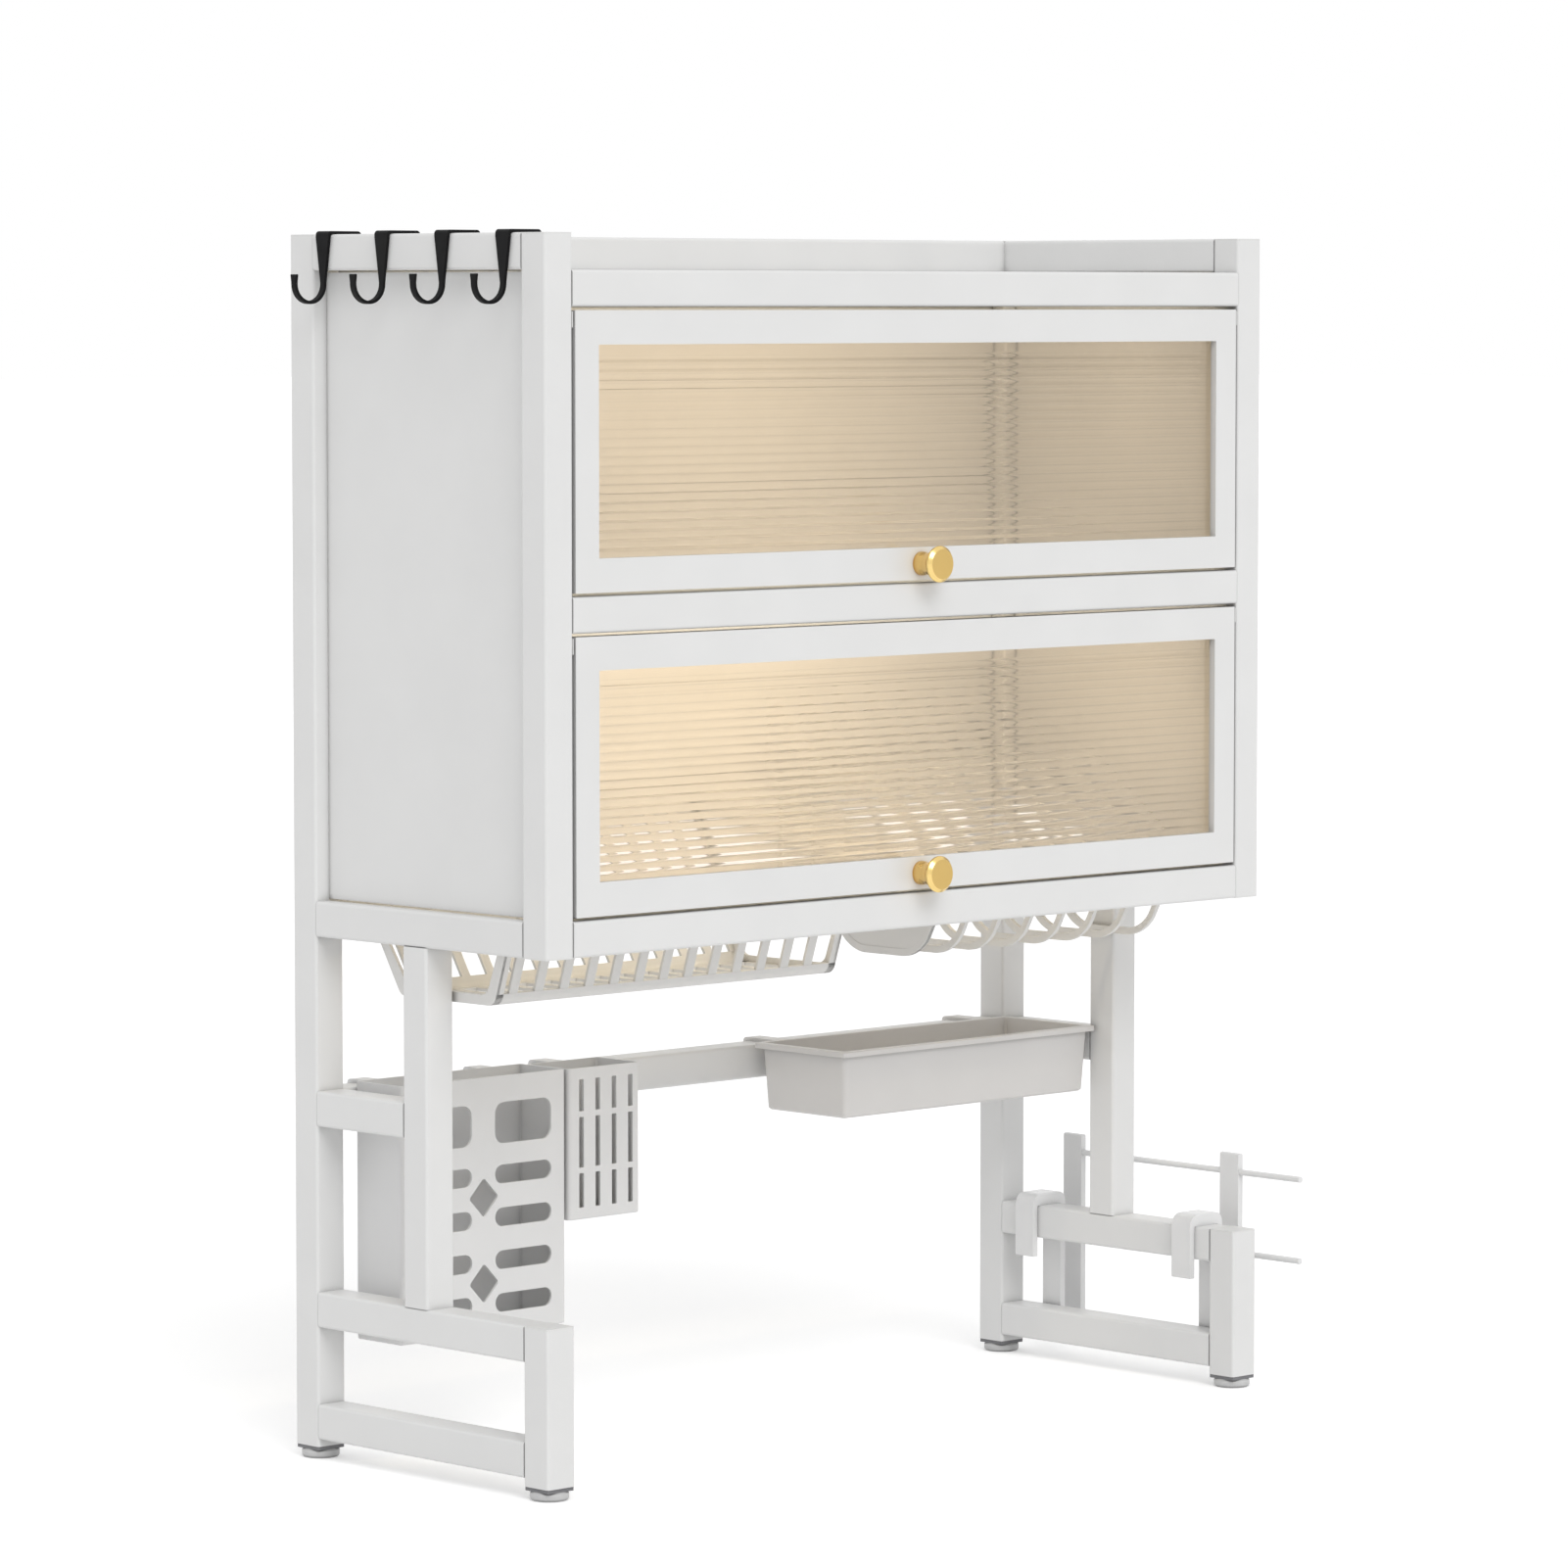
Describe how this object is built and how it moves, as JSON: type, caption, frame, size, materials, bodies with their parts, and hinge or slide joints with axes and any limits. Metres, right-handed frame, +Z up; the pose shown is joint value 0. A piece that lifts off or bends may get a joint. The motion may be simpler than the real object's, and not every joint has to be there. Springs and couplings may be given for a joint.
{
  "type": "three-tier dish rack",
  "caption": "White over-sink dish rack cabinet with flip-up fluted doors, drainer baskets, tool boxes and hooks",
  "frame": {"origin": "on the floor under the middle of the whole object's box", "axes": "+Z up, +X to the right seen from the front, +Y towards the rear"},
  "size_m": [0.8637, 0.3254, 0.9645],
  "materials": {
    "white_powder_coat": "satin white powder coat",
    "door_coat": "satin white powder coat on extruded frame",
    "reeded_glass": "amber tinted reeded glass",
    "brass_knob": "polished gold",
    "steel_screw": "zinc plated",
    "white_plastic": "matte white plastic",
    "gloss_white_plastic": "glossy white plastic",
    "grey_plastic": "dark grey plastic",
    "foot_plastic": "light grey plastic",
    "black_coat": "matte black coat",
    "magnet_block": "white catch housing"
  },
  "bodies": {
    "rack_frame": {"left_front_upright": "white_powder_coat", "left_rear_upright": "white_powder_coat", "left_top_side_rail": "white_powder_coat", "left_cabinet_side_rail": "white_powder_coat", "left_foot_upper_rail": "white_powder_coat", "left_foot_lower_bar": "white_powder_coat", "left_mid_post": "white_powder_coat", "left_crossbar": "white_powder_coat", "left_foot_post": "white_powder_coat", "right_front_upright": "white_powder_coat", "right_rear_upright": "white_powder_coat", "right_top_side_rail": "white_powder_coat", "right_cabinet_side_rail": "white_powder_coat", "right_foot_upper_rail": "white_powder_coat", "right_foot_lower_bar": "white_powder_coat", "right_mid_post": "white_powder_coat", "right_crossbar": "white_powder_coat", "right_foot_post": "white_powder_coat", "top_front_rail": "white_powder_coat", "middle_front_rail": "white_powder_coat", "bottom_front_rail": "white_powder_coat", "guard_rail": "white_powder_coat", "top_rear_rail": "white_powder_coat", "middle_rear_rail": "white_powder_coat", "bottom_rear_rail": "white_powder_coat", "leg_crossbar": "white_powder_coat", "tube_end_caps": "white_plastic", "left_side_panel": "white_powder_coat", "right_side_panel": "white_powder_coat", "upper_back_panel": "white_powder_coat", "lower_back_panel": "white_powder_coat", "top_shelf": "white_powder_coat", "middle_shelf": "white_powder_coat", "hinge_bushes": "white_plastic", "magnetic_catches": "magnet_block", "foot_inserts": "grey_plastic"},
    "upper_door": {"upper_door_frame": "door_coat", "upper_door_pane": "reeded_glass", "upper_door_knob": "brass_knob", "upper_knob_screw": "steel_screw", "upper_door_pins": "steel_screw"},
    "lower_door": {"lower_door_frame": "door_coat", "lower_door_pane": "reeded_glass", "lower_door_knob": "brass_knob", "lower_knob_screw": "steel_screw", "lower_door_pins": "steel_screw"},
    "left_front_foot_body": {"left_front_foot": "foot_plastic"},
    "left_rear_foot_body": {"left_rear_foot": "foot_plastic"},
    "right_front_foot_body": {"right_front_foot": "foot_plastic"},
    "right_rear_foot_body": {"right_rear_foot": "foot_plastic"},
    "plate_basket_body": {"plate_basket": "white_plastic"},
    "bowl_basket_body": {"bowl_basket": "white_plastic"},
    "knife_box_body": {"knife_box": "white_plastic"},
    "chopstick_basket_body": {"chopstick_basket": "white_plastic"},
    "sponge_tray_body": {"sponge_tray": "white_plastic"},
    "board_holder_body": {"board_holder": "gloss_white_plastic"},
    "utensil_hook_1_body": {"utensil_hook_1": "black_coat"},
    "utensil_hook_2_body": {"utensil_hook_2": "black_coat"},
    "utensil_hook_3_body": {"utensil_hook_3": "black_coat"},
    "utensil_hook_4_body": {"utensil_hook_4": "black_coat"}
  },
  "joints": [
    {"name": "upper_door_hinge", "type": "hinge", "parent": "rack_frame", "child": "upper_door", "pos_m": [0, -0.13165, 0.8965], "axis": [-1, 0, 0], "range_deg": [0, 90]},
    {"name": "lower_door_hinge", "type": "hinge", "parent": "rack_frame", "child": "lower_door", "pos_m": [0, -0.13165, 0.65], "axis": [-1, 0, 0], "range_deg": [0, 90]},
    {"name": "left_front_foot_screw", "type": "slide", "parent": "rack_frame", "child": "left_front_foot_body", "axis": [0, 0, -1], "range_m": [0, 0.01]},
    {"name": "left_rear_foot_screw", "type": "slide", "parent": "rack_frame", "child": "left_rear_foot_body", "axis": [0, 0, -1], "range_m": [0, 0.01]},
    {"name": "right_front_foot_screw", "type": "slide", "parent": "rack_frame", "child": "right_front_foot_body", "axis": [0, 0, -1], "range_m": [0, 0.01]},
    {"name": "right_rear_foot_screw", "type": "slide", "parent": "rack_frame", "child": "right_rear_foot_body", "axis": [0, 0, -1], "range_m": [0, 0.01]},
    {"name": "plate_basket_lift", "type": "slide", "parent": "rack_frame", "child": "plate_basket_body", "axis": [0, 0, 1], "range_m": [0, 0.08]},
    {"name": "bowl_basket_lift", "type": "slide", "parent": "rack_frame", "child": "bowl_basket_body", "axis": [0, 0, 1], "range_m": [0, 0.08]},
    {"name": "knife_box_lift", "type": "slide", "parent": "rack_frame", "child": "knife_box_body", "axis": [0, 0, 1], "range_m": [0, 0.06]},
    {"name": "chopstick_basket_lift", "type": "slide", "parent": "rack_frame", "child": "chopstick_basket_body", "axis": [0, 0, 1], "range_m": [0, 0.06]},
    {"name": "sponge_tray_lift", "type": "slide", "parent": "rack_frame", "child": "sponge_tray_body", "axis": [0, 0, 1], "range_m": [0, 0.04]},
    {"name": "board_holder_lift", "type": "slide", "parent": "rack_frame", "child": "board_holder_body", "axis": [0, 0, 1], "range_m": [0, 0.06]},
    {"name": "utensil_hook_1_shift", "type": "slide", "parent": "rack_frame", "child": "utensil_hook_1_body", "axis": [0, 1, 0], "range_m": [-0.018, 0.018]},
    {"name": "utensil_hook_2_shift", "type": "slide", "parent": "rack_frame", "child": "utensil_hook_2_body", "axis": [0, 1, 0], "range_m": [-0.018, 0.018]},
    {"name": "utensil_hook_3_shift", "type": "slide", "parent": "rack_frame", "child": "utensil_hook_3_body", "axis": [0, 1, 0], "range_m": [-0.018, 0.018]},
    {"name": "utensil_hook_4_shift", "type": "slide", "parent": "rack_frame", "child": "utensil_hook_4_body", "axis": [0, 1, 0], "range_m": [-0.018, 0.006]}
  ]
}
